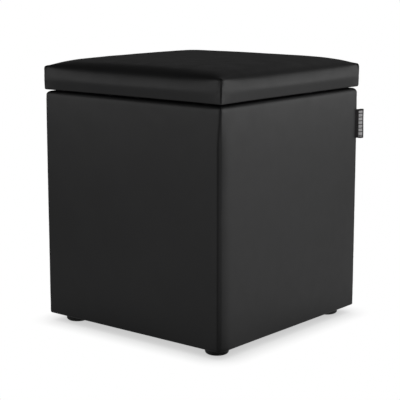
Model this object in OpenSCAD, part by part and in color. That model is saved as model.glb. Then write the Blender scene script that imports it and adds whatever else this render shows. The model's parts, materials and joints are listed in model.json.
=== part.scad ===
// Square storage ottoman: an upholstered board box on four glides, with a hinged, padded lid.
// Millimetres. +Z is up, -Y is the front, the hinges are at +Y, and the origin is on the floor
// under the centre of the box.

/* [Body] */
// Width and depth of the upholstered body
body_w = 345; // [320:5:400]
// Height of the upholstered body, without the feet and the lid
body_h = 352; // [320:4:400]
// Height of the body's underside above the floor
foot_h = 12; // [9:1:16]
// Diameter of each foot
foot_d = 35; // [28:1:36]
// Distance of each foot's centre from the body's outer faces
foot_inset = 31; // [28:1:38]
// Thickness of the boards of the box
board_t = 12; // [12:1:14]

/* [Lid] */
// How far the lid stands out past the body on each side
overhang = 1.5; // [1:0.5:3]
// Height of the lid at its edges
lid_edge_h = 33; // [28:1:38]
// Extra height of the padded top in the middle
lid_crown = 13; // [4:1:16]
// Angle to which the stay lets the lid open
lid_open = 95; // [80:5:100]

/* [Upholstery] */
// Thickness of the leatherette
skin_t = 1; // [0.8:0.1:1.2]
// Thickness of the foam on the box
pad_t = 4; // [3:0.5:5]
// Radius of the body's upright corners and of its rim
body_r = 8; // [7:0.5:9]

/* [Hinges] */
// Length of each butt hinge
hinge_l = 50; // [40:5:60]
// Distance of each hinge's middle from the centre line
hinge_x = 90; // [70:5:100]

/* [Hidden] */
$fn = 48;
eps = 0.01;
pilot = 0.02;              // radial room of a screw in the board that holds it
clear = 0.25;              // room round what only passes through

body_half = body_w / 2;
rim_z = foot_h + body_h;
carcass_half = body_half - skin_t - pad_t;
inner_half = carcass_half - board_t;
carcass_z = foot_h + skin_t;
carcass_top = rim_z - skin_t - pad_t;
base_top = carcass_z + board_t;
screw_heights = [for (i = [0:2]) carcass_z + 60 + i * (carcass_top - carcass_z - 120) / 2];
screw_x = inner_half + board_t / 2;
base_screw_x = 90;
body_edge_r = 3;           // radius of the body's bottom edges
fold_under = 40;           // leatherette turned in under the body
fold_in = 30;              // leatherette turned down inside the rim
foot_at = body_half - foot_inset;
foot_seat = max(2.6, foot_h - 7.4);  // depth of the seat for the foot's screw

lining_t = 0.8;
lining_half = inner_half - skin_t;
lining_top = rim_z - 24;
dust_t = 0.6;
dust_half = foot_at + foot_d / 2 + 3;

// Hinges: the leaves fold flat on each other and set the gap under the lid.
leaf_t = 1.5;
leaf_gap = 0.4;
knuckle_r = 3.2;
pin_r = 1.5;
pin_bore_r = 1.53;
knuckles = 5;
knuckle_gap = 0.25;
knuckle_room = 0.3;
lid_gap = 2 * leaf_t + leaf_gap;
axis_y = body_half - 1;
axis_z = rim_z + lid_gap / 2;
leaf_y = inner_half + 0.5;
leaf_screw_y = carcass_half - board_t / 2 - 0.5;
leaf_screws = 3;
leaf_screw_pitch = 16;

// Lid
lid_half = body_half + overhang;
lid_z = rim_z + lid_gap;
lid_r = 5;
lid_edge_r = 3;
lid_top_r = 8;
lid_fold = 25;
lid_board_z = lid_z + skin_t;
lid_board_half = lid_half - skin_t - pad_t;
crown_power = 8;           // how late the padded top falls away towards its edges
crown_steps = 24;
arc_steps = 6;             // straight pieces in each rounded edge of the lid's section
lid_lining_half = inner_half - 1.5;

// Stay: the stud and the arm's pivot are both stay_r from the hinge axis, so the arm turns
// half as far as the lid and its slot always lies along the stud.
stay_r = 100;
stay_span = 32;            // angle between pivot and stud, seen from the hinge axis
stay_drop = 9.5;           // pivot below the lid's underside
stay_w = 14;
stay_t = 2;
stay_x = lining_half - 8.5;
stud_r = 2.5;
slot_r = 2.75;
slot_end = 0.3;
rivet_r = 2;
rivet_bore_r = 2.05;
pivot_z = lid_z - stay_drop;
pivot_angle = asin((axis_z - pivot_z) / stay_r);
pivot_y = axis_y - stay_r * cos(pivot_angle);
stud_y = axis_y - stay_r * cos(pivot_angle + stay_span);
stud_z = axis_z - stay_r * sin(pivot_angle + stay_span);
slot_near = 2 * stay_r * sin(stay_span / 2);
slot_far = 2 * stay_r * sin((stay_span + lid_open) / 2);
arm_angle = 90 - pivot_angle - stay_span / 2; // below the horizontal, towards the rear
bracket_l = 34;
bracket_w = 18;
bracket_t = 1.5;
ear_x = stay_x + stay_t + 0.4;
flange_top = lid_z - dust_t;
plate_l = 52;
plate_w = 18;
plate_t = 2;
wall_screw_pitch = plate_l - plate_w;

bumper_r = 4.5;
bumper_h = lid_gap - 0.2;
bumper_x = body_half - 32;
bumper_y = -(inner_half + board_t / 2 - 1);

label_w = 16;
label_h = 46;
label_t = 1;
label_top = rim_z - 34;
label_seam = 10;           // place of the seam on the rear right corner's arc
label_lean = 60;           // direction in which the label stands out, from +X

staple_w = 10;
staple_wire = 0.7;
staple_leg = 8;
staple_corner = 40;        // from the middle of the last staple to the ring's corner

SIDES = ["front", "rear", "left", "right"];
FEET = ["front_left", "front_right", "rear_left", "rear_right"];
HANDS = ["left", "right"];

leather = "#26262a";
foam = "#e6dfc8";
board = "#c9a878";
felt = "#17171a";
steel = "#b8bcc2";
plastic = "#111113";

// ---------- shapes used more than once ----------

// A box from its lowest corner to its highest corner.
module block(low, high) {
    translate(low) cube(high - low);
}

// Upright section of the padded box: half its width, from z0 to z1, with round corners.
module section(half, z0, z1, r_low, r_high) {
    translate([-half, z0 + r_low]) square([2 * half, z1 - r_high - z0 - r_low]);
    translate([r_low - half, z0]) square([2 * (half - r_low), r_low]);
    translate([r_high - half, z1 - r_high]) square([2 * (half - r_high), r_high]);
    for (s = [-1, 1]) {
        translate([s * (half - r_low), z0 + r_low]) circle(r_low);
        translate([s * (half - r_high), z1 - r_high]) circle(r_high);
    }
}

// Square plan with round corners.
module plan(half, r) {
    for (turn = [0, 90])
        rotate(turn) square([2 * half, 2 * (half - r)], center = true);
    for (x = [-1, 1], y = [-1, 1])
        translate([x * (half - r), y * (half - r)]) circle(r);
}

// The section given as the child, run along X and along Y, with upright corners of radius r.
module both_ways(half, r) {
    intersection() {
        linear_extrude(lid_z + lid_edge_h + lid_crown + 1) plan(half, r);
        rotate([90, 0, 0]) linear_extrude(2 * half + 2, center = true) children();
        rotate([90, 0, 90]) linear_extrude(2 * half + 2, center = true) children();
    }
}

// Padded body form, each surface moved in by the given amount.
module body_form(inset) {
    both_ways(body_half - inset, body_r - inset)
        section(body_half - inset, foot_h + inset, rim_z - inset, body_edge_r - inset, body_r - inset);
}

// Height of the lid's top over its edge, at x from the middle.
function crown_at(x, half) = lid_crown * (1 - pow(min(1, abs(x) / half), crown_power));

// Points of an arc.
function arc(centre, r, from, to) =
    [for (i = [0:arc_steps]) let (a = from + (to - from) * i / arc_steps) centre + r * [cos(a), sin(a)]];

// Upright section of the lid, each surface moved in by the given amount.
module lid_section(inset) {
    half = lid_half - inset;
    low = lid_z + inset;
    top = lid_z + lid_edge_h - inset;
    r_low = lid_edge_r - inset;
    r_top = lid_top_r - inset;
    reach = half - r_top;
    polygon(concat(
        arc([half - r_low, low + r_low], r_low, -90, 0),
        arc([reach, top - r_top], r_top, 0, 90),
        [for (i = [1:crown_steps - 1]) let (x = reach - 2 * reach * i / crown_steps)
            [x, top + crown_at(x, reach)]],
        arc([-reach, top - r_top], r_top, 90, 180),
        arc([r_low - half, low + r_low], r_low, 180, 270)
    ));
}

// Padded lid form, each surface moved in by the given amount.
module lid_form(inset) {
    both_ways(lid_half - inset, lid_r - inset) lid_section(inset);
}

// Countersunk screw along +Z, its flat head face at z = 0 and its tip at z = length. With room it
// is the hole for one, and without room its head has a cross recess.
module screw(r, head_r, length, room = 0) {
    cone_h = head_r - r;
    recess = head_r / 2;
    difference() {
        rotate_extrude() polygon([
            [0, -room], [head_r + room, -room], [head_r + room, 0.3], [r + room, cone_h + 0.3],
            [r + room, length - r], [0.4 + room, length + room], [0, length + room]
        ]);
        if (room == 0) for (turn = [0, 90])
            rotate(turn) block([-recess, -recess / 4, -1], [recess, recess / 4, recess]);
    }
}

// Staple with its crown along X, lying on z = 0, and its legs going up.
module staple() {
    block([-staple_w / 2, -staple_wire / 2, -staple_wire], [staple_w / 2, staple_wire / 2, 0]);
    for (s = [0, 1]) mirror([s, 0, 0])
        block([staple_w / 2 - staple_wire, -staple_wire / 2, -eps],
              [staple_w / 2, staple_wire / 2, staple_leg]);
}

// Staples in a square ring: count to a side, the ring's half width, at height z.
module staple_ring(half, z, count) {
    pitch = 2 * (half - staple_corner) / (count - 1);
    for (turn = [0:90:270]) rotate(turn)
        for (i = [0:count - 1])
            translate([(i - (count - 1) / 2) * pitch, -half, z]) staple();
}

// Places of the carcass screws: [position of the head, turn about Z], driven inwards.
module at_carcass_screws() {
    for (back = [0, 1], side = [-1, 1], z = screw_heights)
        rotate(180 * back) translate([side * screw_x, -carcass_half, z]) rotate([-90, 0, 0]) children();
    for (turn = [0:90:270], side = [-1, 1])
        rotate(turn) translate([side * base_screw_x, -carcass_half, carcass_z + board_t / 2])
            rotate([-90, 0, 0]) children();
}
module carcass_screw(room = 0) { screw(1.9, 3.6, 38, room); }

function foot_place(f) = [
    f == "front_left" || f == "rear_left" ? -foot_at : foot_at,
    f == "front_left" || f == "front_right" ? -foot_at : foot_at,
    0
];
module at_feet() { for (f = FEET) translate(foot_place(f)) children(); }
module foot_screw(room = 0) { translate([0, 0, foot_seat]) screw(2, 4.2, 17.5, room); }

function hand(h) = h == HANDS[0] ? -1 : 1;
module at_hinge(h) { translate([hand(h) * hinge_x, axis_y, axis_z]) children(); }

// Screws of one leaf, at its outer face's level; up is 1 for the lid's leaf.
module leaf_screw_places(up) {
    for (h = HANDS, i = [0:leaf_screws - 1])
        translate([hand(h) * hinge_x + (i - 1) * leaf_screw_pitch, leaf_screw_y, axis_z])
            translate([0, 0, up * leaf_gap / 2]) rotate([up > 0 ? 0 : 180, 0, 0]) children();
}
module body_leaf_screw(room = 0) { screw(1.5, 2.8, 20, room); }
module lid_leaf_screw(room = 0) { screw(1.5, 2.8, 12, room); }

// ---------- box ----------

module panel(side) {
    color(board) difference() {
        if (side == "front")
            block([-carcass_half, -carcass_half, carcass_z], [carcass_half, -inner_half, carcass_top]);
        else if (side == "rear")
            block([-carcass_half, inner_half, carcass_z], [carcass_half, carcass_half, carcass_top]);
        else
            mirror([side == "left" ? 1 : 0, 0, 0])
                block([inner_half, -inner_half, carcass_z], [carcass_half, inner_half, carcass_top]);
        at_carcass_screws() carcass_screw(pilot);
        if (side == "rear") leaf_screw_places(-1) body_leaf_screw(pilot);
        if (side == "right") at_wall_screws() wall_screw(pilot);
    }
}

module base_panel() {
    color(board) difference() {
        block([-inner_half, -inner_half, carcass_z], [inner_half, inner_half, base_top]);
        at_carcass_screws() carcass_screw(pilot);
        at_feet() foot_screw(pilot);
    }
}

module carcass_screws() {
    color(steel) at_carcass_screws() carcass_screw();
}

module wall_foam(side) {
    h = body_half + 1;
    color(foam) difference() {
        intersection() {
            body_form(skin_t);
            if (side == "front") block([-h, -h, 0], [h, -inner_half, rim_z]);
            else if (side == "rear") block([-h, inner_half, 0], [h, h, rim_z]);
            else mirror([side == "left" ? 1 : 0, 0, 0])
                block([inner_half, -inner_half, 0], [h, inner_half, rim_z]);
        }
        block([-carcass_half, -carcass_half, 0], [carcass_half, carcass_half, carcass_top]);
        block([-inner_half, -inner_half, 0], [inner_half, inner_half, rim_z + 1]);
        if (side == "rear") leaf_screw_places(-1) body_leaf_screw(clear);
    }
}

// Leatherette, over the foam, turned in under the box and down inside the rim.
module body_cover() {
    under = body_half - fold_under;
    color(leather) difference() {
        union() {
            difference() {
                body_form(0);
                body_form(skin_t);
                block([-lining_half, -lining_half, rim_z - body_r], [lining_half, lining_half, rim_z + 1]);
                block([-under, -under, 0], [under, under, base_top]);
            }
            difference() {
                block([-inner_half, -inner_half, rim_z - fold_in], [inner_half, inner_half, rim_z]);
                block([-lining_half, -lining_half, 0], [lining_half, lining_half, rim_z + 1]);
            }
        }
        leaf_screw_places(-1) body_leaf_screw(clear);
        at_feet() foot_screw(clear);
        label_tag();
    }
}

// Non-woven cloth on the inside walls and the floor of the box.
module storage_lining() {
    color(felt) difference() {
        block([-lining_half, -lining_half, base_top], [lining_half, lining_half, lining_top]);
        block([lining_t - lining_half, lining_t - lining_half, base_top + lining_t],
              [lining_half - lining_t, lining_half - lining_t, lining_top + 1]);
        at_wall_screws() wall_screw(clear);
    }
}

module lining_staples() {
    color(steel) for (turn = [0:90:270]) rotate(turn)
        for (i = [-2:2])
            translate([i * 60, lining_half - lining_t, lining_top - 4])
                rotate([-90, 0, 0]) staple();
}

module dust_cover() {
    color(felt) difference() {
        block([-dust_half, -dust_half, foot_h - dust_t], [dust_half, dust_half, foot_h]);
        at_feet() foot_screw(clear);
    }
}

module dust_cover_staples() {
    color(steel) staple_ring(inner_half - 6, foot_h - dust_t, 4);
}

// Round glide with a sunk seat for its screw.
module foot(f) {
    r = foot_d / 2;
    top = foot_h - dust_t;
    round_r = 4.5;
    color(plastic) translate(foot_place(f)) difference() {
        rotate_extrude() union() {
            square([r - round_r, top]);
            translate([0, round_r]) square([r, top - round_r]);
            translate([r - round_r, round_r]) circle(round_r);
        }
        foot_screw(clear);
        translate([0, 0, -1]) cylinder(r = 5, h = foot_seat + 1 - clear);
    }
}

module foot_screws() {
    color(steel) at_feet() foot_screw();
}

// Folded cloth tag, caught in the seam of the rear right corner.
module label_tag() {
    translate([body_half - body_r, body_half - body_r, label_top - label_h])
        rotate(label_seam) translate([body_r - skin_t / 2, 0, 0])
            rotate(label_lean - label_seam)
                block([0, -label_t / 2, 0], [label_w, label_t / 2, label_h]);
}
module side_label() { color("#2a2626") label_tag(); }

// ---------- hinges ----------

// One leaf of a butt hinge, its axis along X through the origin. up is 1 for the lid's leaf.
module hinge_leaf(up) {
    first = up > 0 ? 1 : 0;
    pitch = hinge_l / knuckles;
    edge = -(knuckle_r + knuckle_room);
    low = up > 0 ? leaf_gap / 2 : -leaf_gap / 2 - leaf_t;
    color(steel) difference() {
        union() {
            block([-hinge_l / 2, leaf_y - axis_y, low], [hinge_l / 2, edge, low + leaf_t]);
            for (i = [first:2:knuckles - 1]) {
                x0 = -hinge_l / 2 + i * pitch + (i > 0 ? knuckle_gap / 2 : 0);
                x1 = -hinge_l / 2 + (i + 1) * pitch - (i < knuckles - 1 ? knuckle_gap / 2 : 0);
                block([x0, edge - eps, low], [x1, 0, low + leaf_t]);
                translate([x0, 0, 0]) rotate([0, 90, 0]) cylinder(r = knuckle_r, h = x1 - x0);
            }
        }
        translate([-hinge_l, 0, 0]) rotate([0, 90, 0]) cylinder(r = pin_bore_r, h = 2 * hinge_l);
    }
}

module body_leaf(h) {
    color(steel) difference() {
        at_hinge(h) hinge_leaf(-1);
        leaf_screw_places(-1) body_leaf_screw(pilot);
    }
}

module lid_leaf(h) {
    color(steel) difference() {
        at_hinge(h) hinge_leaf(1);
        leaf_screw_places(1) lid_leaf_screw(pilot);
    }
}

module hinge_pin(h) {
    color(steel) at_hinge(h) translate([-hinge_l / 2, 0, 0]) rotate([0, 90, 0])
        cylinder(r = pin_r, h = hinge_l);
}

// Room in the lid's upholstery for the knuckles.
module knuckle_relief() {
    for (h = HANDS) at_hinge(h) translate([-hinge_l / 2 - 1, 0, 0]) rotate([0, 90, 0])
        cylinder(r = knuckle_r + knuckle_room, h = hinge_l + 2);
}

// ---------- stay ----------

// Flat bar with round ends in the YZ plane, from the origin along +Y, its faces at x = 0 and x = t.
module bar(length, w, t) {
    rotate([90, 0, 90]) linear_extrude(t) union() {
        translate([0, -w / 2]) square([length, w]);
        for (y = [0, length]) translate([y, 0]) circle(w / 2);
    }
}

module at_wall_screws() {
    for (s = [-1, 1])
        translate([lining_half - lining_t - plate_t, stud_y + s * wall_screw_pitch / 2, stud_z])
            rotate([0, 90, 0]) children();
}
module wall_screw(room = 0) { screw(1.75, 3.4, 13, room); }

module stay_wall_plate() {
    color(steel) difference() {
        translate([lining_half - lining_t - plate_t, stud_y - wall_screw_pitch / 2, stud_z])
            bar(wall_screw_pitch, plate_w, plate_t);
        at_wall_screws() wall_screw(pilot);
        translate([0, stud_y, stud_z]) rotate([0, 90, 0]) cylinder(r = stud_r + pilot, h = body_half);
    }
}

// Shouldered stud that runs in the arm's slot.
module stay_stud() {
    color(steel) translate([0, stud_y, stud_z]) rotate([0, 90, 0]) {
        translate([0, 0, stay_x - 2]) cylinder(r = stud_r, h = lining_half - lining_t - stay_x + 2);
        translate([0, 0, stay_x - 2]) cylinder(r = 6, h = 1.4);
    }
}

module stay_wall_screws() {
    color(steel) at_wall_screws() wall_screw();
}

module stay_arm() {
    long = slot_far + slot_r + slot_end + 4;
    color(steel) translate([stay_x, pivot_y, pivot_z]) rotate([-arm_angle, 0, 0]) difference() {
        bar(long, stay_w, stay_t);
        translate([-1, slot_near - slot_end, 0])
            bar(slot_far - slot_near + 2 * slot_end, 2 * slot_r, stay_t + 2);
        translate([-1, 0, 0]) rotate([0, 90, 0]) cylinder(r = rivet_bore_r, h = stay_t + 2);
    }
}

// Angle bracket under the lid: a flange on the lid's lining and an ear that holds the pivot.
module stay_lid_bracket() {
    color(steel) difference() {
        union() {
            block([ear_x + bracket_t - bracket_w, pivot_y - bracket_l / 2, flange_top - bracket_t],
                  [ear_x + bracket_t, pivot_y + bracket_l / 2, flange_top]);
            translate([ear_x, pivot_y, pivot_z]) rotate([0, 90, 0]) cylinder(r = stay_w / 2, h = bracket_t);
            block([ear_x, pivot_y - stay_w / 2, pivot_z],
                  [ear_x + bracket_t, pivot_y + stay_w / 2, flange_top]);
        }
        translate([ear_x - 1, pivot_y, pivot_z]) rotate([0, 90, 0])
            cylinder(r = rivet_r + pilot, h = bracket_t + 2);
        at_bracket_screws() bracket_screw(pilot);
    }
}

module stay_rivet() {
    color(steel) translate([0, pivot_y, pivot_z]) rotate([0, 90, 0]) {
        translate([0, 0, stay_x - 1.5]) cylinder(r = 4.2, h = 1.3);
        translate([0, 0, stay_x - 1.5]) cylinder(r = rivet_r, h = stay_t + bracket_t + 2.6);
        translate([0, 0, ear_x + bracket_t]) cylinder(r = 3, h = 1);
    }
}

module at_bracket_screws() {
    for (s = [-1, 1])
        translate([ear_x + bracket_t - bracket_w + 6, pivot_y + s * 12, flange_top - bracket_t]) children();
}
module bracket_screw(room = 0) { screw(1.5, 2.8, 12, room); }

module stay_lid_screws() {
    color(steel) at_bracket_screws() bracket_screw();
}

// ---------- lid ----------

module lid_bumper(h) {
    color(plastic) translate([hand(h) * bumper_x, bumper_y, lid_z - bumper_h])
        rotate_extrude() union() {
            square([bumper_r - 1, bumper_h]);
            translate([0, 1]) square([bumper_r, bumper_h - 1]);
            translate([bumper_r - 1, 1]) circle(1);
        }
}

module lid_board() {
    color(board) difference() {
        block([-lid_board_half, -lid_board_half, lid_board_z],
              [lid_board_half, lid_board_half, lid_board_z + board_t]);
        leaf_screw_places(1) lid_leaf_screw(pilot);
        at_bracket_screws() bracket_screw(pilot);
        knuckle_relief();
    }
}

module lid_foam() {
    color(foam) difference() {
        lid_form(skin_t);
        block([-lid_board_half, -lid_board_half, 0],
              [lid_board_half, lid_board_half, lid_board_z + board_t]);
        knuckle_relief();
    }
}

// Leatherette over the lid, turned in under the board.
module lid_cover() {
    under = lid_half - lid_fold;
    color(leather) difference() {
        lid_form(0);
        lid_form(skin_t);
        block([-under, -under, 0], [under, under, lid_board_z + 1]);
        knuckle_relief();
        leaf_screw_places(1) lid_leaf_screw(clear);
    }
}

module lid_lining() {
    color(felt) difference() {
        block([-lid_lining_half, -lid_lining_half, lid_z - dust_t],
              [lid_lining_half, lid_lining_half, lid_z]);
        at_bracket_screws() bracket_screw(clear);
    }
}

module lid_staples() {
    color(steel) staple_ring(lid_lining_half - 2.5, lid_z - dust_t, 5);
}

// ---------- nodes ----------

for (s = SIDES) panel(s);
base_panel();
carcass_screws();
for (s = SIDES) wall_foam(s);
body_cover();
storage_lining();
lining_staples();
dust_cover();
dust_cover_staples();
for (f = FEET) foot(f);
foot_screws();
side_label();
for (h = HANDS) body_leaf(h);
for (h = HANDS) hinge_pin(h);
for (h = HANDS) lid_leaf(h);
color(steel) leaf_screw_places(-1) body_leaf_screw();  // hinge_body_screws
color(steel) leaf_screw_places(1) lid_leaf_screw();  // hinge_lid_screws
stay_wall_plate();
stay_stud();
stay_wall_screws();
stay_arm();
stay_lid_bracket();
stay_rivet();
stay_lid_screws();
for (h = HANDS) lid_bumper(h);
lid_board();
lid_foam();
lid_cover();
lid_lining();
lid_staples();
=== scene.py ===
"""Looks of the square storage ottoman: sewn leatherette covers over the box and the padded lid,
linings, a cloth label and the finish of the hardware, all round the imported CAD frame. Metres."""
import json
import math

import bpy
import numpy as np
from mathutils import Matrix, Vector, kdtree, noise


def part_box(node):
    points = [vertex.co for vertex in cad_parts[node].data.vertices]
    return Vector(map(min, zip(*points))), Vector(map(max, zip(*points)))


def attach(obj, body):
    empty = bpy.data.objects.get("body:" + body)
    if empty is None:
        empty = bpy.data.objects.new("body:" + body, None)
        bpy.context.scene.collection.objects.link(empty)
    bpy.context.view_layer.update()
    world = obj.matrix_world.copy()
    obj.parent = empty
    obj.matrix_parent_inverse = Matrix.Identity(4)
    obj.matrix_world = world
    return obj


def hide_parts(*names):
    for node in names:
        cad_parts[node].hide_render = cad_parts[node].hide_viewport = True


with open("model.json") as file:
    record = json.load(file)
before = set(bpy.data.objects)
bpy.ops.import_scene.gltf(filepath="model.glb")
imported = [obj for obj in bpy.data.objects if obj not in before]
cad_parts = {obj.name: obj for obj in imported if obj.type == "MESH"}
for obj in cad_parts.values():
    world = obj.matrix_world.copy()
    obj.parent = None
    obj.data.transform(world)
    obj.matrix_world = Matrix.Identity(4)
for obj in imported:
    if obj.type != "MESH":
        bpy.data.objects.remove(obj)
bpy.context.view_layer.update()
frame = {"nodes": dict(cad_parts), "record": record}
scene = bpy.context.scene
scene.view_settings.view_transform = "Standard"

MM = 0.001
body_low, body_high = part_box("body_cover")
lid_low, lid_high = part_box("lid_cover")
lining_low, lining_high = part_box("storage_lining")
BODY_HALF, RIM_Z, UNDER_Z = body_high.x, body_high.z, body_low.z
LID_HALF, LID_Z, LID_TOP = lid_high.x, lid_low.z, lid_high.z
LINING_HALF = lining_high.x


# ---------- camera ----------

AZIMUTH, ELEVATION = math.radians(39.46), math.radians(10.6)  # from the front, and over the floor
CAMERA_DISTANCE = 2.033
TARGET = Vector((-0.0067, 0, 0.188))
SENSOR, LENS = 36, 115.7  # millimetres


def make_camera():
    """The photo's view of the front right corner."""
    data = bpy.data.cameras.new("camera")
    data.sensor_width = SENSOR
    data.lens = LENS
    data.clip_start, data.clip_end = 0.05, 40
    camera = bpy.data.objects.new("camera", data)
    scene.collection.objects.link(camera)
    level = math.cos(ELEVATION)
    back = Vector((math.sin(AZIMUTH) * level, -math.cos(AZIMUTH) * level, math.sin(ELEVATION)))
    camera.location = TARGET + back * CAMERA_DISTANCE
    camera.rotation_euler = (-back).to_track_quat("-Z", "Y").to_euler()
    scene.camera = camera


# ---------- materials ----------

class Nodes:
    """A material and its nodes, in the object's own coordinates."""

    def __init__(self, name):
        self.material = bpy.data.materials.new(name)
        self.material.use_nodes = True
        self.tree = self.material.node_tree
        self.place = self.add("ShaderNodeTexCoord").outputs["Object"]

    def add(self, kind, inputs=None, **settings):
        made = self.tree.nodes.new(kind)
        for key, value in settings.items():
            setattr(made, key, value)
        for key, value in (inputs or {}).items():
            socket = made.inputs[key]
            if isinstance(value, bpy.types.NodeSocket):
                self.tree.links.new(value, socket)
            else:
                socket.default_value = value
        return made

    def math(self, operation, a, b=0.0):
        return self.add("ShaderNodeMath", {0: a, 1: b}, operation=operation).outputs[0]

    def vector(self, operation, a, b=(0, 0, 0), output="Vector"):
        return self.add("ShaderNodeVectorMath", {0: a, 1: b}, operation=operation).outputs[output]

    def span(self, value, low, high, from_low=0.0, from_high=1.0):
        """The value mapped from one range to another, and kept inside it."""
        return self.add("ShaderNodeMapRange", {"Value": value, "From Min": from_low, "From Max": from_high,
                                               "To Min": low, "To Max": high}).outputs["Result"]


class Shader(Nodes):
    """A principled material and the nodes that feed it."""

    def __init__(self, name, **values):
        super().__init__(name)
        self.bsdf = self.tree.nodes["Principled BSDF"]
        for socket, value in values.items():
            self.bsdf.inputs[socket.replace("_", " ")].default_value = value

    def stretched(self, x, y, z):
        return self.add("ShaderNodeMapping", {"Vector": self.place, "Scale": (x, y, z)}).outputs[0]

    def noise(self, scale, detail=2.0, roughness=0.5, at=None):
        return self.add("ShaderNodeTexNoise", {"Vector": at or self.place, "Scale": scale, "Detail": detail,
                                               "Roughness": roughness}).outputs["Fac"]

    def cells(self, scale, feature="F1", output="Distance", at=None, randomness=1.0):
        return self.add("ShaderNodeTexVoronoi", {"Vector": at or self.place, "Scale": scale,
                                                 "Randomness": randomness},
                        feature=feature).outputs[output]

    def ramp(self, value, *stops):
        made = self.add("ShaderNodeValToRGB", {"Fac": value})
        elements = made.color_ramp.elements
        while len(elements) < len(stops):
            elements.new(0.5)
        for element, (position, colour) in zip(elements, stops):
            element.position = position
            element.color = (*colour, 1)
        return made.outputs["Color"]

    def feed(self, socket, value):
        self.tree.links.new(value, self.bsdf.inputs[socket])

    def bump(self, height, strength, distance):
        made = self.add("ShaderNodeBump", {"Height": height, "Strength": strength, "Distance": distance})
        self.feed("Normal", made.outputs["Normal"])


class Glow(Nodes):
    """A material that only shines."""

    def __init__(self, name):
        super().__init__(name)
        self.tree.nodes.remove(self.tree.nodes["Principled BSDF"])
        self.light = self.add("ShaderNodeEmission")
        self.tree.links.new(self.light.outputs[0], self.tree.nodes["Material Output"].inputs["Surface"])

    def strength(self, value):
        self.tree.links.new(value, self.light.inputs["Strength"])


def leatherette():
    """Coated cloth: fine pebbles with creases between them, and a soft sheen that isn't quite even."""
    s = Shader("leatherette", Specular_IOR_Level=0.5)
    blacks = [(0.35, (0.0085, 0.0085, 0.009)), (0.65, (0.0115, 0.0115, 0.012))]
    s.feed("Base Color", s.ramp(s.noise(14, 4), *blacks))
    s.feed("Roughness", s.span(s.noise(45, 3), 0.38, 0.44, 0.3, 0.7))
    pebbles = s.cells(1000, "SMOOTH_F1")
    creases = s.noise(420, 4, 0.6)
    grain = s.math("ADD", s.math("MULTIPLY", pebbles, 0.6), s.math("MULTIPLY", creases, 0.5))
    s.bump(grain, 0.3, 0.12 * MM)
    return s.material


def felt(name, dark, light, dots=0):
    """Non-woven cloth: tangled fibres, and pressed dots where dots is their number to a metre."""
    s = Shader(name, Roughness=0.95, Sheen_Weight=0.25, Sheen_Roughness=0.5)
    fibres = s.noise(900, 6, 0.7, at=s.stretched(1, 1.6, 1.3))
    s.feed("Base Color", s.ramp(fibres, (0.3, dark), (0.75, light)))
    height = fibres
    if dots:
        pressed = s.math("LESS_THAN", s.cells(dots, randomness=0.0), 0.28)
        height = s.math("SUBTRACT", fibres, s.math("MULTIPLY", pressed, 0.8))
    s.bump(height, 0.6, 0.4 * MM)
    return s.material


def chipboard():
    """Raw particle board: flat chips of different tones, with grain over them."""
    s = Shader("chipboard", Roughness=0.8)
    chips = s.cells(330, output="Color", at=s.stretched(1, 0.55, 2.2))
    grey = s.add("ShaderNodeRGBToBW", {"Color": chips}).outputs[0]
    grain = s.noise(700, 5, 0.7)
    mixed = s.math("ADD", s.math("MULTIPLY", grey, 0.6), s.math("MULTIPLY", grain, 0.5))
    woods = [(0.2, (0.24, 0.14, 0.07)), (0.5, (0.46, 0.31, 0.17)), (0.9, (0.66, 0.5, 0.32))]
    s.feed("Base Color", s.ramp(mixed, *woods))
    s.bump(mixed, 0.5, 0.5 * MM)
    return s.material


def zinc_steel():
    """Plated pressed steel: a faint spangle, and brush marks along X."""
    s = Shader("zinc_steel", Metallic=1.0)
    spangle = s.noise(160, 3, 0.6)
    brushed = s.noise(1500, 3, 0.5, at=s.stretched(0.08, 1, 1))
    s.feed("Base Color", s.ramp(spangle, (0.3, (0.50, 0.51, 0.53)), (0.7, (0.66, 0.66, 0.65))))
    worn = s.math("ADD", s.math("MULTIPLY", spangle, 0.5), s.math("MULTIPLY", brushed, 0.5))
    s.feed("Roughness", s.span(worn, 0.26, 0.48, 0.3, 0.7))
    s.bump(brushed, 0.15, 0.1 * MM)
    return s.material


def moulded(name, tone, rough, scale):
    """Moulded plastic or rubber: an even skin with a fine spark-eroded texture."""
    s = Shader(name)
    grain = s.noise(scale, 4, 0.6)
    tones = [(0.3, (tone * 0.85,) * 3), (0.7, (tone * 1.2,) * 3)]
    s.feed("Base Color", s.ramp(s.noise(60, 3), *tones))
    s.feed("Roughness", s.span(grain, rough - 0.06, rough + 0.06, 0.3, 0.7))
    s.bump(grain, 0.25, 0.15 * MM)
    return s.material


LABEL_WARP, LABEL_WEFT = 46, 60  # threads across and along the tape
STRIPE_AT, STRIPE_HALF, STRIPE_REACH = 0.32, 0.1, 0.44  # shares of the tape's width, and of its length
STRIPE_BARS = 8
MIX_A, MIX_B, MIX_RESULT = 6, 7, 2  # the colour sockets of a mix node


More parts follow.
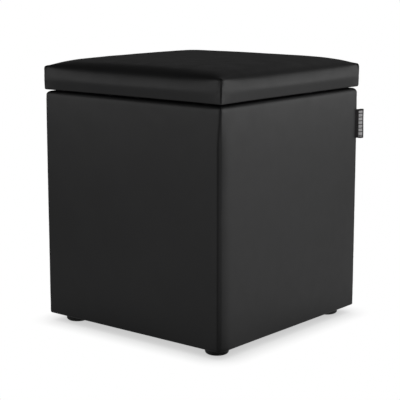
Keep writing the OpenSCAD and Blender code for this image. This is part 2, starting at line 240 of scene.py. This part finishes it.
def label_cloth():
    """Woven tape, dark, with a plain pale stripe woven along it. Its UVs run across and along the tape."""
    s = Shader("label_cloth", Roughness=0.8, Sheen_Weight=0.3, Sheen_Roughness=0.4)
    uv = s.add("ShaderNodeUVMap", uv_map="tape").outputs["UV"]
    split = s.add("ShaderNodeSeparateXYZ", {"Vector": uv})
    across, along = split.outputs[0], split.outputs[1]

    def ripple(value, number):
        return s.math("SINE", s.math("MULTIPLY", value, 2 * math.pi * number))

    def away_from(value, middle):
        return s.math("ABSOLUTE", s.math("SUBTRACT", value, middle))

    weave = s.math("MULTIPLY", ripple(across, LABEL_WARP), ripple(along, LABEL_WEFT))
    level = s.math("ADD", s.math("MULTIPLY", weave, 0.18), s.noise(2600, 3, 0.6))
    dark = s.ramp(level, (0.3, (0.010, 0.009, 0.010)), (0.8, (0.045, 0.038, 0.040)))
    pale = s.ramp(level, (0.2, (0.45, 0.43, 0.44)), (0.6, (0.85, 0.84, 0.84)))
    in_stripe = s.math("LESS_THAN", away_from(s.math("PINGPONG", across, 0.5), STRIPE_AT), STRIPE_HALF)
    in_reach = s.math("LESS_THAN", away_from(along, 0.5), STRIPE_REACH)
    in_bar = s.math("GREATER_THAN", ripple(along, STRIPE_BARS), -0.8)
    stripe = s.math("MULTIPLY", s.math("MULTIPLY", in_stripe, in_reach), in_bar)
    mix = s.add("ShaderNodeMix", {"Factor": stripe, MIX_A: dark, MIX_B: pale}, data_type="RGBA")
    s.feed("Base Color", mix.outputs[MIX_RESULT])
    s.bump(weave, 0.5, 0.12 * MM)
    return s.material


# ---------- mesh helpers ----------

def mesh_object(name, points, faces, material, body):
    """A piece that moves with a body of the frame."""
    mesh = bpy.data.meshes.new(name)
    mesh.from_pydata([tuple(p) for p in points], [], faces)
    mesh.validate()
    mesh.shade_smooth()
    mesh.materials.append(material)
    made = bpy.data.objects.new(name, mesh)
    scene.collection.objects.link(made)
    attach(made, body)
    return made


def read_points(mesh):
    flat = np.zeros(len(mesh.vertices) * 3, np.float32)
    mesh.vertices.foreach_get("co", flat)
    return flat.reshape(-1, 3).astype(float)


def write_points(mesh, points):
    mesh.vertices.foreach_set("co", points.astype(np.float32).ravel())
    mesh.update()


def read_normals(mesh):
    flat = np.zeros(len(mesh.vertices) * 3, np.float32)
    mesh.vertex_normals.foreach_get("vector", flat)
    return flat.reshape(-1, 3).astype(float)


def apply_modifiers(made):
    """Turns what a piece's modifiers make into its own mesh."""
    graph = bpy.context.evaluated_depsgraph_get()
    mesh = bpy.data.meshes.new_from_object(made.evaluated_get(graph))
    made.modifiers.clear()
    old, made.data = made.data, mesh
    mesh.name = made.name
    bpy.data.meshes.remove(old)


def thicken(made, thickness):
    """Gives a sheet its thickness, away from the side that shows."""
    solid = made.modifiers.new("thickness", "SOLIDIFY")
    solid.thickness, solid.offset = thickness, -1


def soft_noise(points, size, seed=0.0):
    """Smooth noise from -1 to 1 with features of about that size."""
    shift = Vector((seed, seed * 1.7, -seed))
    return np.array([noise.noise(Vector(p) / size + shift) for p in points])


class Square:
    """Rings of points round a square with round corners. Each ring starts at the middle of the front left
    corner, and has a point on each corner's middle, where the seams run. crowd, from 0 to 1, is how much the
    points of a side gather towards its ends."""

    def __init__(self, line_cells, arc_cells, crowd=0.4):
        t = np.linspace(-1, 1, line_cells + 1)
        self.line = (1 - crowd) * t + crowd * np.sin(t * math.pi / 2)
        self.arc = np.linspace(0, 1, arc_cells + 1)
        self.side = line_cells + 2 * arc_cells
        self.count = 4 * self.side

    def ring(self, half, r, z):
        """A ring at height z, its sides half away from the middle and its corners of radius r."""
        c = half - r
        first = np.radians(225 + 45 * self.arc[:-1])
        last = np.radians(270 + 45 * self.arc[1:-1])
        x = np.concatenate([-c + r * np.cos(first), c * self.line, c + r * np.cos(last)])
        y = np.concatenate([-c + r * np.sin(first), -half + 0 * self.line, -c + r * np.sin(last)])
        sides = [(x, y), (-y, x), (-x, -y), (y, -x)]
        return np.concatenate([np.stack([a, b, np.full(len(a), z)], axis=1) for a, b in sides])

    def bands(self, rows):
        """Faces between rings that lie one after the other, their fronts outwards where the rings go down."""
        n = self.count
        return [(a * n + i, (a + 1) * n + i, (a + 1) * n + (i + 1) % n, a * n + (i + 1) % n)
                for a in range(rows - 1) for i in range(n)]

    def cap(self, ring, start, first_new, height):
        """Points and faces that close a ring with a grid. start is the ring's first index, first_new the
        index of the first new point, and height(x, y) the new points' z."""
        n = self.side
        index = {}
        for i in range(n):
            index[(i, 0)] = start + i
            index[(n, i)] = start + n + i
            index[(n - i, n)] = start + 2 * n + i
            index[(0, n - i)] = start + 3 * n + i
        along = np.append(ring[:n, 0], -ring[0, 0])
        points = []
        for i in range(1, n):
            for j in range(1, n):
                index[(i, j)] = first_new + len(points)
                points.append((along[i], along[j], height(along[i], along[j])))
        faces = []
        for i in range(n):
            for j in range(n):
                faces.append((index[(i, j)], index[(i + 1, j)], index[(i + 1, j + 1)], index[(i, j + 1)]))
        return points, faces


def arc_rows(centre, r, start, stop, cells):
    """Points of an arc in the plane of half width and height, from one angle to another in degrees."""
    angles = np.radians(np.linspace(start, stop, cells + 1))
    return [(centre[0] + r * math.cos(a), centre[1] + r * math.sin(a)) for a in angles]


def seam_distance(points, half, r):
    """How far each point is, along its side, from the nearest upright seam of a square with corners of that
    radius."""
    across = np.minimum(abs(points[:, 0]), abs(points[:, 1]))
    return np.maximum(half - r * (1 - math.sqrt(0.5)) - across, 0)


def bell(away, width):
    """From 1 where away is 0 down to 0, over about that width."""
    return np.exp(-(away / width) ** 2)


# ---------- body cover ----------

BODY_R = 2.5 * MM  # of the upright corners
RIM_R, RIM_INNER_R = 7.5 * MM, 4 * MM
BODY_EDGE_R = 3 * MM  # under the box
FOLD_IN, FOLD_UNDER = 30 * MM, 40 * MM  # how far the cover goes on inside the rim and under the box
SKIN = 1 * MM
SMALLEST_R = 0.8 * MM  # of a ring that lies further in
WALL_FILL = 1.4  # millimetres that the padding stands out
SLACK, SLACK_ON_SIDE, SLACK_ON_FRONT = 3.4 * MM, 20 * MM, 4.6 * MM  # how far in, and over what width
SLACK_RIM, SLACK_END = 60 * MM, 40 * MM  # how far down it is whole, and how far from the corner it ends


def body_profile():
    """The cover's section, from inside the rim, over it, down the wall and in under the box."""
    inner = LINING_HALF + 0.1 * MM
    low = [(inner, z) for z in np.linspace(RIM_Z - FOLD_IN, RIM_Z - RIM_INNER_R, 6)[:-1]]
    lip = arc_rows((inner + RIM_INNER_R, RIM_Z - RIM_INNER_R), RIM_INNER_R, 180, 90, 5)
    rim = arc_rows((BODY_HALF - RIM_R, RIM_Z - RIM_R), RIM_R, 90, 0, 8)
    wall = [(BODY_HALF, z) for z in np.linspace(RIM_Z - RIM_R, UNDER_Z + BODY_EDGE_R, 90)[1:-1]]
    edge = arc_rows((BODY_HALF - BODY_EDGE_R, UNDER_Z + BODY_EDGE_R), BODY_EDGE_R, 0, -90, 4)
    under = [(half, UNDER_Z) for half in np.linspace(BODY_HALF - BODY_EDGE_R, BODY_HALF - FOLD_UNDER, 8)[1:]]
    return low + lip + rim + wall + edge + under


def body_shape(points, normals):
    """How far the padded walls stand out, with the seams drawn in and the cloth not quite flat."""
    x, y, z = points.T
    up = np.clip((z - UNDER_Z) / (RIM_Z - UNDER_Z), 0, 1)
    wall = np.clip((np.maximum(abs(x), abs(y)) - (BODY_HALF - 4 * MM)) / (4 * MM), 0, 1)
    side = np.minimum(abs(x), abs(y)) / BODY_HALF
    fill = (1 - side ** 9) * (1 - (2 * abs(up - 0.5)) ** 5)
    across = seam_distance(points, BODY_HALF, BODY_R) * math.sqrt(2)
    groove = bell(across, 0.9 * MM)
    gather = soft_noise(points, 3.4 * MM, 1.9) * bell(across, 4 * MM)
    wave = soft_noise(points * [1, 1, 0.6], 85 * MM, 3.1) + 0.5 * soft_noise(points, 34 * MM, 8.2)
    creases = soft_noise(points * [1, 1, 2.5], 15 * MM, 5.0)
    creases *= bell(RIM_Z - z, 20 * MM) * bell(across, 24 * MM)
    ears = bell(RIM_Z - 9 * MM - z, 4.5 * MM) * bell(across - 6 * MM, 3.5 * MM)
    turned = 0.7 * np.exp(-(RIM_Z - z) / (14 * MM))
    out = (WALL_FILL * fill + 0.22 * wave + 0.45 * creases + 0.45 * ears + 0.12 * gather
           - turned - 0.35 * groove)
    return points + normals * (out * wall * MM)[:, None]


def slacken_front_corner(points):
    """Lets the cloth fall in at the front right corner: over a short way on the front, a long one on the
    side, and hardly at all at the rim."""
    from_side, from_front = BODY_HALF - points[:, 0], BODY_HALF + points[:, 1]
    depth = SLACK * np.clip((RIM_Z - points[:, 2]) / SLACK_RIM + 0.1, 0, 1)
    fade_side, fade_front = [np.clip(1 - far / SLACK_END, 0, 1) for far in (from_side, from_front)]
    points[:, 0] -= depth * np.clip(1 - from_front / SLACK_ON_SIDE, 0, 1) ** 2 * fade_side
    points[:, 1] += depth * np.clip(1 - from_side / SLACK_ON_FRONT, 0, 1) ** 2 * fade_front
    return points


def make_body_cover():
    """The box's padded walls under one cover, from inside the rim to under the base."""
    square = Square(76, 7, 0.75)
    rows = []
    for half, z in body_profile():
        r = max(SMALLEST_R, BODY_R - (BODY_HALF - half))
        rows.append(square.ring(half, r, z))
    made = mesh_object("body_cover_leatherette", np.concatenate(rows), square.bands(len(rows)), LEATHERETTE,
                       "body")
    mesh = made.data
    write_points(mesh, slacken_front_corner(body_shape(read_points(mesh), read_normals(mesh))))
    thicken(made, SKIN)
    apply_modifiers(made)
    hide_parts("body_cover", "front_foam", "rear_foam", "left_foam", "right_foam")


# ---------- lid cushion ----------

LID_R = 2.8 * MM  # of the upright corners
LID_SIDE = 33 * MM  # of the CAD lid, up to its fold
LID_CORNER_Z = LID_Z + LID_SIDE + 2 * MM
LID_CROWN = LID_TOP - LID_CORNER_Z
LID_FOLD = 25 * MM  # how far the cover goes on under the board
LIP_R, LIP_DROP = 2.5 * MM, 1.5 * MM
CROWN_POWER = 8
FOLD_SOFT, FOLD_TIGHT = 5.5 * MM, 2 * MM
CROWN_FROM = -42 * MM  # the first ring, and then the ends of the fold and the side, past the fold's line
FOLD_END, SIDE_END = 14 * MM, LID_CORNER_Z - LID_Z - 5 * MM
BELLY_OUT, BELLY_LEVEL = 1.8 * MM, 17 * MM  # how far the sides stand out, and at what height most
BELLY_SOFT, BELLY_SLOPE = 6 * MM, 0.38  # how round the belly is, and how steep above and below
BELLY_POWER, FOLD_POWER = 6, 12  # how near the corners the belly and the soft fold come
AIR_PRESSURE, AIR_FRAMES = 4.0, 20
AIR_MOST, AIR_FROM_CORNER = 1.4 * MM, 110 * MM  # the furthest a point goes, and from where on it does
AIR_EVEN = 20 * MM  # the reach over which movement is averaged


def crown(x, y):
    """How much of its full height over the edge the padded top has, from 0 to 1."""
    a, b = abs(x / LID_HALF) ** (2 * CROWN_POWER), abs(y / LID_HALF) ** (2 * CROWN_POWER)
    return 1 - (a + b - a * b) ** 0.5


def crown_height(x, y):
    """Height of the padded top over the floor."""
    return LID_CORNER_Z + LID_CROWN * crown(x, y)


def rounded(run, soft):
    """How far in and how far down a fold smoothed by soft lies, at run past its line."""
    def ramp(t):
        return t * 0.5 * (1 + math.erf(t / math.sqrt(2))) + math.exp(-t * t / 2) / math.sqrt(2 * math.pi)
    return soft * ramp(-run / soft), soft * ramp(run / soft)


def between_corners(ring, power):
    """From 0 at a ring's corners to 1 along its sides, the sooner the greater the power."""
    return np.clip(1 - (abs(ring[:, 0] * ring[:, 1]) / LID_HALF ** 2) ** power, 0, 1)


def bulge(ring):
    """Pushes the middle of each side out at half its height, and in above and below it."""
    level = ring[:, 2] - LID_Z - BELLY_LEVEL
    out = BELLY_OUT - BELLY_SLOPE * (np.sqrt(level ** 2 + BELLY_SOFT ** 2) - BELLY_SOFT)
    out *= between_corners(ring, BELLY_POWER)
    for axis in (0, 1):
        inside = np.clip((LID_HALF - abs(ring[:, axis])) / (30 * MM), 0, 1)
        ring[:, axis] += np.sign(ring[:, axis]) * out * (1 - inside) ** 2
    return ring


def lid_rings(square, runs):
    """Rings of the cushion from its top, over the fold, down the side and in under the board. runs gives how
    far past the fold's line each ring of the top and side lies. The fold is tight where the corners are sewn
    and soft between them."""
    rings = []
    for run in runs:
        tight, soft = [square.ring(LID_HALF - inward, max(SMALLEST_R, LID_R - inward), LID_CORNER_Z - down)
                       for inward, down in (rounded(run, FOLD_TIGHT), rounded(run, FOLD_SOFT))]
        ring = tight + (soft - tight) * between_corners(tight, FOLD_POWER)[:, None]
        ring[:, 2] += LID_CROWN * crown(ring[:, 0], ring[:, 1])
        rings.append(bulge(ring))
    low = LID_Z - LIP_DROP
    lip = arc_rows((LID_HALF - LIP_R, low + LIP_R), LIP_R, 0, -90, 5)
    lip += [(LID_HALF - 4.5 * MM, low + 0.3 * MM), (LID_HALF - 7 * MM, LID_Z - 0.3 * MM)]
    under = [(half, LID_Z) for half in np.linspace(LID_HALF - 10 * MM, LID_HALF - LID_FOLD, 5)]
    return rings + [bulge(square.ring(half, max(SMALLEST_R, LID_R - (LID_HALF - half)), z))
                    for half, z in lip + under]


def lid_form(square, runs):
    """Points and faces of the cushion, open only where the board closes it."""
    rings = lid_rings(square, runs)
    points = np.concatenate(rings)
    top, faces = square.cap(rings[0], 0, len(points), crown_height)
    return np.concatenate([points, np.array(top)]), square.bands(len(rings)) + faces


def lid_hold(points):
    """How firmly each point is held, from 0 free to 1 fixed: by the staples under the board and the seams."""
    outer = np.maximum(abs(points[:, 0]), abs(points[:, 1]))
    stapled = np.clip(1 - (points[:, 2] - LID_Z - 2 * MM) / (10 * MM), 0, 1)
    sewn = bell(seam_distance(points, LID_HALF, LID_R), 3 * MM) * (outer > LID_HALF - 4 * MM)
    return np.maximum(stapled, sewn)


def inflate(points, faces, held):
    """How far each point of a cloth moves when it is run with air in it."""
    mesh = bpy.data.meshes.new("air")
    mesh.from_pydata([tuple(p) for p in points], [], faces)
    made = bpy.data.objects.new("air", mesh)
    scene.collection.objects.link(made)
    group = made.vertex_groups.new(name="held")
    for i, weight in enumerate(held):
        group.add([i], float(weight), "REPLACE")
    cloth = made.modifiers.new("cloth", "CLOTH")
    s = cloth.settings
    s.quality = 6
    s.mass = 0.15
    s.tension_stiffness = s.compression_stiffness = 25
    s.shear_stiffness = 12
    s.bending_stiffness = 0.6
    s.use_pressure = True
    s.uniform_pressure_force = AIR_PRESSURE
    s.vertex_group_mass = "held"
    s.effector_weights.gravity = 0
    cloth.point_cache.frame_start, cloth.point_cache.frame_end = 1, AIR_FRAMES
    for f in range(1, AIR_FRAMES + 1):
        scene.frame_set(f)
    graph = bpy.context.evaluated_depsgraph_get()
    moved = read_points(made.evaluated_get(graph).data) - points
    bpy.data.objects.remove(made)
    bpy.data.meshes.remove(mesh)
    scene.frame_set(1)
    return moved


def spread(values, known, points, reach):
    """Values at the known points, averaged over that reach for other points."""
    tree = kdtree.KDTree(len(known))
    for i, place in enumerate(known):
        tree.insert(place, i)
    tree.balance()
    found = np.zeros_like(points)
    for i, place in enumerate(points):
        near = tree.find_range(place, reach)
        weights = np.array([(1 - (far / reach) ** 2) ** 2 for _, _, far in near])
        found[i] = weights @ values[[n for _, n, _ in near]] / weights.sum()
    return found


def lid_shape(points, normals):
    """The sewn corners drawn in, pleats, tucks and creases beside them, and the cloth not quite flat."""
    x, y, z = points.T
    up = z - LID_Z
    outer = np.maximum(abs(x), abs(y))
    on_side = np.clip((outer - (LID_HALF - 3 * MM)) / (3 * MM), 0, 1)
    across = seam_distance(points, LID_HALF, LID_R) * math.sqrt(2)
    wave = soft_noise(points, 60 * MM, 1.4) + 0.4 * soft_noise(points, 22 * MM, 7.7)
    creases = soft_noise(points * [1, 1, 2], 9 * MM, 2.2) * bell(across, 15 * MM)
    ear = bell(across - 4.5 * MM, 2.6 * MM) * bell(LID_CORNER_Z - 5 * MM - z, 4 * MM)
    groove = bell(across, 0.7 * MM) - 0.5 * bell(across - 2 * MM, 1 * MM)
    drawn = 0.5 * np.clip(up / LID_SIDE, 0.3, 1) * (1 + 0.5 * soft_noise(points, 7 * MM, 3.3))
    pleats = soft_noise(points * [1, 1, 0.12], 2.4 * MM, 4.1) * bell(across - 4 * MM, 3 * MM)
    streaks = soft_noise(points * [0.2, 0.2, 1], 2.2 * MM, 9.3) * bell(across - 32 * MM, 18 * MM)
    streaks *= bell(up - 8 * MM, 5 * MM)
    tucks = sum(bell(across - at * MM, 0.8 * MM) for at in (4.4, 7.6)) * (abs(y) > abs(x))
    tucks *= np.clip(0.5 + 2 * soft_noise(points * [0.05, 0.05, 1], 6 * MM, 5.7), 0, 1)
    out = (0.25 * wave + 0.25 * creases + 0.2 * pleats + 0.15 * streaks + 1.1 * ear
           - (0.4 * tucks + drawn * groove) * on_side)
    above = np.clip(up / (2 * MM), 0, 1)
    return points + normals * (out * above * MM)[:, None]


KNUCKLE_ROOM = 3.7 * MM  # from a hinge's axis to the cloth


def clear_of_hinges(points):
    """Lifts the lip off the hinge leaves, and presses it back where the knuckles stand against it."""
    for side in ("left", "right"):
        low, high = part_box("hinge_pin_" + side)
        y, z = (low.y + high.y) / 2, (low.z + high.z) / 2
        beside = np.maximum(low.x - points[:, 0], points[:, 0] - high.x)
        near = np.clip(1 - (beside - 2 * MM) / (5 * MM), 0, 1)
        at_rear = (points[:, 1] > 0.8 * LID_HALF) & (points[:, 2] < LID_Z)
        points[at_rear, 2] += ((LID_Z + 0.05 * MM - points[:, 2]) * near)[at_rear]
        away = points[:, 1:] - [y, z]
        far = np.maximum(np.linalg.norm(away, axis=1), 1e-9)
        push = (near >= 1) & (far < KNUCKLE_ROOM)
        points[push, 1:] = [y, z] + away[push] / far[push][:, None] * KNUCKLE_ROOM
    return points


def air_moved(points):
    """The points moved by the air, which is run in an even, coarser mesh of the same form. None goes further
    than its most, which is nothing at the corners."""
    coarse, faces = lid_form(Square(56, 1, 0), np.linspace(CROWN_FROM, SIDE_END, 13))
    moved = spread(inflate(coarse, faces, lid_hold(coarse)), coarse, points, AIR_EVEN)
    moved *= (1 - lid_hold(points))[:, None]
    from_corner = np.hypot(*(LID_HALF - abs(points[:, :2])).T)
    most = np.maximum(AIR_MOST * (1 - bell(from_corner, AIR_FROM_CORNER)), 1e-6)
    far = np.maximum(np.linalg.norm(moved, axis=1), 1e-9)
    return points + moved * (most * np.tanh(far / most) / far)[:, None]


def make_lid_cover():
    """The lid's cushion: filled with air, and then drawn in at its seams."""
    runs = [np.linspace(CROWN_FROM, FOLD_END, 26), np.linspace(FOLD_END, SIDE_END, 7)[1:]]
    points, faces = lid_form(Square(64, 5, 0.75), np.concatenate(runs))
    points = air_moved(points)
    made = mesh_object("lid_cushion_leatherette", points, faces, LEATHERETTE, "lid")
    subdivide = made.modifiers.new("subdivide", "SUBSURF")
    subdivide.levels = subdivide.render_levels = 1
    apply_modifiers(made)
    mesh = made.data
    write_points(mesh, clear_of_hinges(lid_shape(read_points(mesh), read_normals(mesh))))
    mesh.shade_smooth()
    thicken(made, SKIN)
    apply_modifiers(made)
    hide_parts("lid_cover", "lid_foam")


# ---------- linings ----------

def sheet_grid(half, cells, z):
    """Points and faces of a flat square sheet that faces down."""
    along = np.linspace(-half, half, cells + 1)
    points = np.array([(x, y, z) for x in along for y in along])
    n = cells + 1
    faces = [(i * n + j, i * n + j + 1, (i + 1) * n + j + 1, (i + 1) * n + j)
             for i in range(cells) for j in range(cells)]
    return points, faces


def make_flat_lining(name, node, body, material, sag, pitch):
    """A sheet stapled round its edge to the underside of a board, hanging a little between its staples."""
    low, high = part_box(node)
    half = high.x
    points, faces = sheet_grid(half, 60, high.z - 0.02 * MM)
    x, y = points[:, 0], points[:, 1]
    edge = half - np.maximum(abs(x), abs(y))
    along = np.minimum(abs(x), abs(y))
    loose = np.sin(math.pi * along / pitch) ** 2 * bell(edge, 9 * MM)
    middle = np.clip(edge / (40 * MM), 0, 1)
    drop = sag * (0.6 * middle * (0.6 + 0.4 * soft_noise(points, 70 * MM, 4.4)) + 0.4 * loose)
    points[:, 2] -= np.clip(drop, 0, None)
    made = mesh_object(name, points, faces, material, body)
    thicken(made, -(high.z - low.z))
    apply_modifiers(made)
    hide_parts(node)


LINING_SKIN, LINING_R = 0.8 * MM, 4 * MM
LINING_HEM = 14 * MM


def make_storage_lining():
    """The lining of the box: four walls and a floor, hemmed along the top and stapled under the rim."""
    square = Square(40, 3)
    floor_z = lining_low.z + LINING_SKIN
    inner, r = LINING_HALF - LINING_SKIN, LINING_R
    wall = [(inner, z) for z in np.linspace(lining_high.z, floor_z + r, 60)]
    foot = arc_rows((inner - r, floor_z + r), r, 0, -90, 4)[1:]
    rows = [square.ring(half, r - min(r - SMALLEST_R, inner - half), z) for half, z in wall + foot]
    points = np.concatenate(rows)
    start = (len(rows) - 1) * square.count
    floor, faces = square.cap(rows[-1], start, len(points), lambda x, y: floor_z)
    points = np.concatenate([points, np.array(floor)])
    bands = [face[::-1] for face in square.bands(len(rows))]
    made = mesh_object("storage_lining_felt", points, bands + faces, LINING_FELT, "body")
    mesh = made.data
    points, normals = read_points(mesh), read_normals(mesh)
    z = points[:, 2]
    hem = 0.35 / (1 + np.exp(-(z - (lining_high.z - LINING_HEM)) / (0.5 * MM)))
    wave = 0.30 * (1 + soft_noise(points * [1, 1, 0.5], 60 * MM, 6.6))
    wave *= np.clip((lining_high.z - z) / (30 * MM), 0, 1)
    flat = np.clip((z - floor_z) / (20 * MM), 0, 1)
    write_points(mesh, points + normals * ((hem + wave * flat) * MM)[:, None])
    thicken(made, LINING_SKIN)
    apply_modifiers(made)
    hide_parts("storage_lining")


# ---------- label ----------

TAPE_GAP, TAPE_SKIN = 0.55 * MM, 0.35 * MM  # half the way between the folded halves, and the cloth


def tape_path(length, cells=22, turn=6):
    """The folded tape seen from above: out along one half, round the fold and back along the other. Each
    point is how far out it lies and how far off the middle."""
    out = [length * i / cells - TAPE_GAP for i in range(cells + 1)]
    fold = [math.pi / 2 - math.pi * i / turn for i in range(1, turn)]
    path = [(along, TAPE_GAP) for along in out]
    path += [(length - TAPE_GAP + TAPE_GAP * math.cos(a), TAPE_GAP * math.sin(a)) for a in fold]
    return np.array(path + [(along, -TAPE_GAP) for along in reversed(out)])


def make_label():
    """A woven tape folded in half, its two ends caught in the seam, standing out from the corner."""
    low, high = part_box("side_label")
    start, tip = Vector((low.x, low.y, 0)), Vector((high.x, high.y, 0)) - Vector((0.5, 0.3, 0)) * MM
    out = (tip - start).normalized()
    sideways = Vector((out.y, -out.x, 0))
    length = (tip - start).length
    path = tape_path(length)
    steps = np.linalg.norm(np.diff(path, axis=0), axis=1)
    run = np.concatenate([[0], np.cumsum(steps)])
    rows = 40
    points, coordinates = [], []
    for v in np.linspace(0, 1, rows + 1):
        for (along, off), u in zip(path, run / run[-1]):
            share = along / length
            bow = 1.3 * MM * math.sin(math.pi * share) + 0.5 * MM * math.sin(5 * v + 1) * share
            rise = 1 * MM + 0.25 * MM * math.sin(7 * share + 3 * v) - 0.03 * along
            pinch = off * min(1, 0.35 + share)
            place = start + out * along + sideways * (pinch + bow)
            points.append((place.x, place.y, low.z + v * (high.z - low.z) + rise))
            coordinates.append((u, v))
    n = len(path)
    faces = [(k * n + i, k * n + i + 1, (k + 1) * n + i + 1, (k + 1) * n + i)
             for k in range(rows) for i in range(n - 1)]
    made = mesh_object("side_label_tape", points, faces, LABEL_CLOTH, "body")
    layer = made.data.uv_layers.new(name="tape")
    for loop in made.data.loops:
        layer.data[loop.index].uv = coordinates[loop.vertex_index]
    thicken(made, TAPE_SKIN)
    apply_modifiers(made)
    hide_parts("side_label")


# ---------- CAD nodes ----------

def dress_cad_nodes():
    """Gives each CAD node that still shows its material, by the record's slot."""
    by_slot = {
        "board": chipboard(),
        "zinc_steel": zinc_steel(),
        "glide_plastic": moulded("glide_plastic", 0.011, 0.42, 1800),
        "bumper_rubber": moulded("bumper_rubber", 0.016, 0.62, 1200),
    }
    slots = {s["node"]: s["material_slot"] for s in frame["record"]["subparts"]}
    for name, made in frame["nodes"].items():
        if not made.hide_render:
            made.data.materials.clear()
            made.data.materials.append(by_slot[slots[name]])


# ---------- stage ----------

STAGE_HALF, DOME_HALF = 6, 11
CONTACT_REACH, CONTACT_SHADE = 0.036, 0.52  # of the soft shadow under the object's edges

FLOOR_NEAR = 0.11  # what the floor sends back from close to the object
FLOOR_REACH, FLOOR_RISE = 3.5, 0.25  # how far out it goes on growing, and the power that it follows
FLOOR_LIGHT = [((-0.64, -0.77), 0.37), ((0.64, 0.77), 0.73), ((0.78, -0.62), 0.05)]  # each way, how much
FLOOR_TURN = (0.25, 0.88)  # cosines of the angle to such a way, from nothing to all of it
FRONT_CORNER = (0.12, -0.12)  # the place that those ways start from
BESIDE, BESIDE_SPAN, BESIDE_LIGHT = (0.77, -0.64), (-0.6, 0.8), (0.3, 1.65)  # grows across the floor
CLOSE_SPAN, CLOSE_LIGHT = (0.16, 0.32), (0.5, 1)  # and is shaded near the middle


def only_camera(made):
    """Hides a piece from everything but the camera."""
    made.visible_diffuse = made.visible_glossy = made.visible_transmission = False
    made.visible_volume_scatter = made.visible_shadow = False


def stage_object(name, corners, sides, material):
    """A piece of the studio, apart from the object."""
    mesh = bpy.data.meshes.new(name)
    mesh.from_pydata(corners, [], sides)
    mesh.materials.append(material)
    made = bpy.data.objects.new(name, mesh)
    scene.collection.objects.link(made)
    return made


def plane(name, half, z, material):
    corners = [(-half, -half, z), (half, -half, z), (half, half, z), (-half, half, z)]
    return stage_object(name, corners, [(0, 1, 2, 3)], material)


def pale_floor():
    """White that shines by itself, with a painted shadow: darker where something stands close above it."""
    s = Glow("stage_floor")
    open_sky = s.add("ShaderNodeAmbientOcclusion", {"Distance": CONTACT_REACH}, samples=16)
    # painted contact shadow: the floor's glow is dimmed by ambient occlusion, not by any lamp
    s.strength(s.span(open_sky.outputs["AO"], CONTACT_SHADE, 1))
    return s.material


def bounce_material():
    """What the floor sends back to the object: brighter towards the lights, further out and towards the
    front right, and shaded close by."""
    s = Glow("stage_bounce")
    distance = s.vector("LENGTH", s.place, output="Value")
    bearing = s.vector("NORMALIZE", s.vector("SUBTRACT", s.place, (*FRONT_CORNER, 0)))
    rise = s.math("POWER", s.span(distance, 0, 1, 0, FLOOR_REACH), FLOOR_RISE)
    total = s.span(distance, FLOOR_NEAR, 0, 0.5, 1.5)
    for direction, glow in FLOOR_LIGHT:
        facing = s.vector("DOT_PRODUCT", bearing, (*direction, 0), output="Value")
        total = s.math("ADD", total, s.math("MULTIPLY", rise, s.span(facing, 0, glow, *FLOOR_TURN)))
    beside = s.vector("DOT_PRODUCT", s.place, (*BESIDE, 0), output="Value")
    total = s.math("MULTIPLY", total, s.span(beside, *BESIDE_LIGHT, *BESIDE_SPAN))
    total = s.math("MULTIPLY", total, s.span(distance, *CLOSE_LIGHT, *CLOSE_SPAN))
    s.strength(total)
    return s.material


def softbox(name, place, size, glow):
    """An upright light of that size, its face as bright as glow."""
    data = bpy.data.lights.new(name, "AREA")
    data.shape = "RECTANGLE"
    data.size, data.size_y = size
    data.energy = glow * math.pi * size[0] * size[1]
    made = bpy.data.objects.new(name, data)
    made.location = place
    made.rotation_euler = Vector((-place[0], -place[1], 0)).to_track_quat("-Z", "Y").to_euler()
    made.visible_camera = False
    scene.collection.objects.link(made)


def make_stage():
    """A white floor and backdrop that only the camera sees, and what lights the object."""
    only_camera(plane("stage_floor", STAGE_HALF, 0, pale_floor()))
    plane("stage_bounce", STAGE_HALF, -0.2 * MM, bounce_material()).visible_camera = False
    ends = (-DOME_HALF, DOME_HALF)
    corners = [(x, y, z) for x in ends for y in ends for z in ends]
    sides = [(0, 1, 3, 2), (4, 6, 7, 5), (0, 4, 5, 1), (2, 3, 7, 6), (0, 2, 6, 4), (1, 5, 7, 3)]
    only_camera(stage_object("stage_dome", corners, sides, Glow("stage_backdrop").material))
    world = bpy.data.worlds.new("studio")
    scene.world = world
    world.use_nodes = True
    world.node_tree.nodes["Background"].inputs["Color"].default_value = (0.05, 0.05, 0.05, 1)
    softbox("softbox_left", (-1.15, -1.5, 0.80), (2.2, 1.30), 0.70)
    softbox("softbox_right", (1.48, 1.24, 0.77), (2.1, 1.20), 1.24)
    softbox("softbox_front", (1.5, -1.2, 0.62), (2.0, 1.24), 0.12)
    softbox("softbox_rear", (-0.9, 2.2, 1.6), (3.4, 1.1), 0.07)
    softbox("softbox_high", (0.1, 1.9, 1.85), (1.6, 0.7), 0.14)


# ---------- all of it ----------

LEATHERETTE = leatherette()
LINING_FELT = felt("lining_felt", (0.010, 0.010, 0.011), (0.034, 0.034, 0.037))
DUST_CLOTH = felt("dust_cloth", (0.012, 0.012, 0.013), (0.038, 0.038, 0.041), dots=420)
LABEL_CLOTH = label_cloth()

make_camera()
make_stage()
make_body_cover()
make_lid_cover()
make_storage_lining()
make_flat_lining("lid_lining_felt", "lid_lining", "lid", LINING_FELT,
                 sag=0.8 * MM, pitch=56 * MM)
make_flat_lining("dust_cover_cloth", "dust_cover", "body", DUST_CLOTH,
                 sag=1.2 * MM, pitch=73 * MM)
make_label()
dress_cad_nodes()
